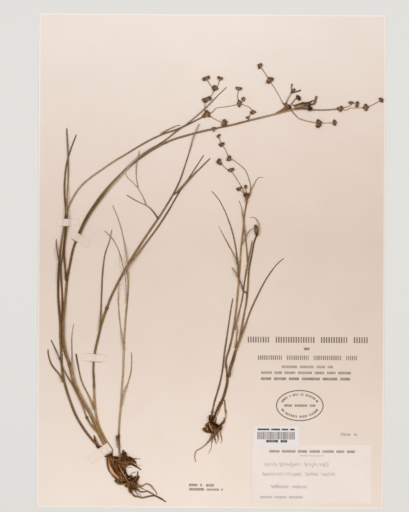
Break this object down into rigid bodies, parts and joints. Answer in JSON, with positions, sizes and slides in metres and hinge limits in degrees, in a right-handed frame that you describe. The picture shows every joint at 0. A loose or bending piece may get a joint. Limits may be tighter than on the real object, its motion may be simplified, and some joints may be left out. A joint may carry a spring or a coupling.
{
  "type": "herbarium sheet with pressed jointed rush",
  "caption": "Stiff paper mounting sheet with pressed, dried jointed rush plants lying flat on it: roots, long stems, narrow leaves and brown flower heads, held by paper straps.",
  "frame": {"origin": "middle of the sheet's underside", "axes": "+Y along the sheet's long side towards the flower heads, +Z out of the sheet's mounted face"},
  "size_m": [0.292, 0.416, 0.0042],
  "materials": {
    "sheet_paper": "matt, slightly yellowed and mottled",
    "label_paper": "matt, a little whiter than the sheet",
    "strap_paper": "matt gummed paper",
    "olive_stems": "dry, finely ribbed, dull satin",
    "brown_stems": "dry, finely ribbed, dull satin",
    "pale_stems": "dry, thin, dull",
    "dark_bases": "dry, rough, matt",
    "flower_heads": "dry, papery, dull satin"
  },
  "bodies": {
    "root": {"mounting_sheet": "sheet_paper", "main_label": "label_paper", "catalogue_label": "label_paper", "large_rootstock": "dark_bases", "culm_a": "olive_stems", "culm_b": "olive_stems", "culm_c": "olive_stems", "outer_stem": "olive_stems", "right_stem": "pale_stems", "side_sheath": "dark_bases", "base_stub": "dark_bases", "spray_a_centre": "flower_heads", "spray_a_right": "flower_heads", "spray_a_low": "flower_heads", "bud_on_culm_b": "flower_heads", "spray_b_left": "flower_heads", "spray_b_middle": "flower_heads", "spray_b_small": "flower_heads", "spray_b_right": "flower_heads", "spray_b_cluster": "flower_heads", "spray_b_low": "flower_heads", "side_shoot": "olive_stems", "leaf_beside_culm_b": "pale_stems", "bract_on_culm_a": "pale_stems", "leaf_top_left": "olive_stems", "leaf_far_left": "brown_stems", "leaf_crossing_left": "brown_stems", "leaf_thin_left": "pale_stems", "leaf_small_left": "pale_stems", "leaf_in_fork": "brown_stems", "leaf_middle": "olive_stems", "leaf_along_culm_c": "pale_stems", "leaf_upper_culm_c": "olive_stems", "leaf_upper_right_stem": "olive_stems", "leaf_left_of_right_stem": "olive_stems", "leaf_right_of_right_stem": "olive_stems", "small_rootstock": "dark_bases", "small_culm_a": "brown_stems", "small_shoot_base": "brown_stems", "small_culm_b": "pale_stems", "small_spray_centre": "flower_heads", "small_spray_right": "flower_heads", "small_spray_left": "flower_heads", "small_head": "flower_heads", "small_bract": "olive_stems", "small_curled_bract": "pale_stems", "small_leaf_left": "olive_stems", "small_leaf_top": "pale_stems", "small_leaf_long_left": "olive_stems", "small_leaf_short_left": "pale_stems", "small_leaf_between": "pale_stems", "small_leaf_hooked": "brown_stems", "small_leaf_inner": "pale_stems", "small_leaf_long_right": "olive_stems", "small_leaf_pale": "pale_stems", "small_leaf_arching": "pale_stems", "strap_top": "strap_paper", "strap_middle": "strap_paper", "strap_fork": "strap_paper", "strap_base": "strap_paper"}
  },
  "joints": []
}
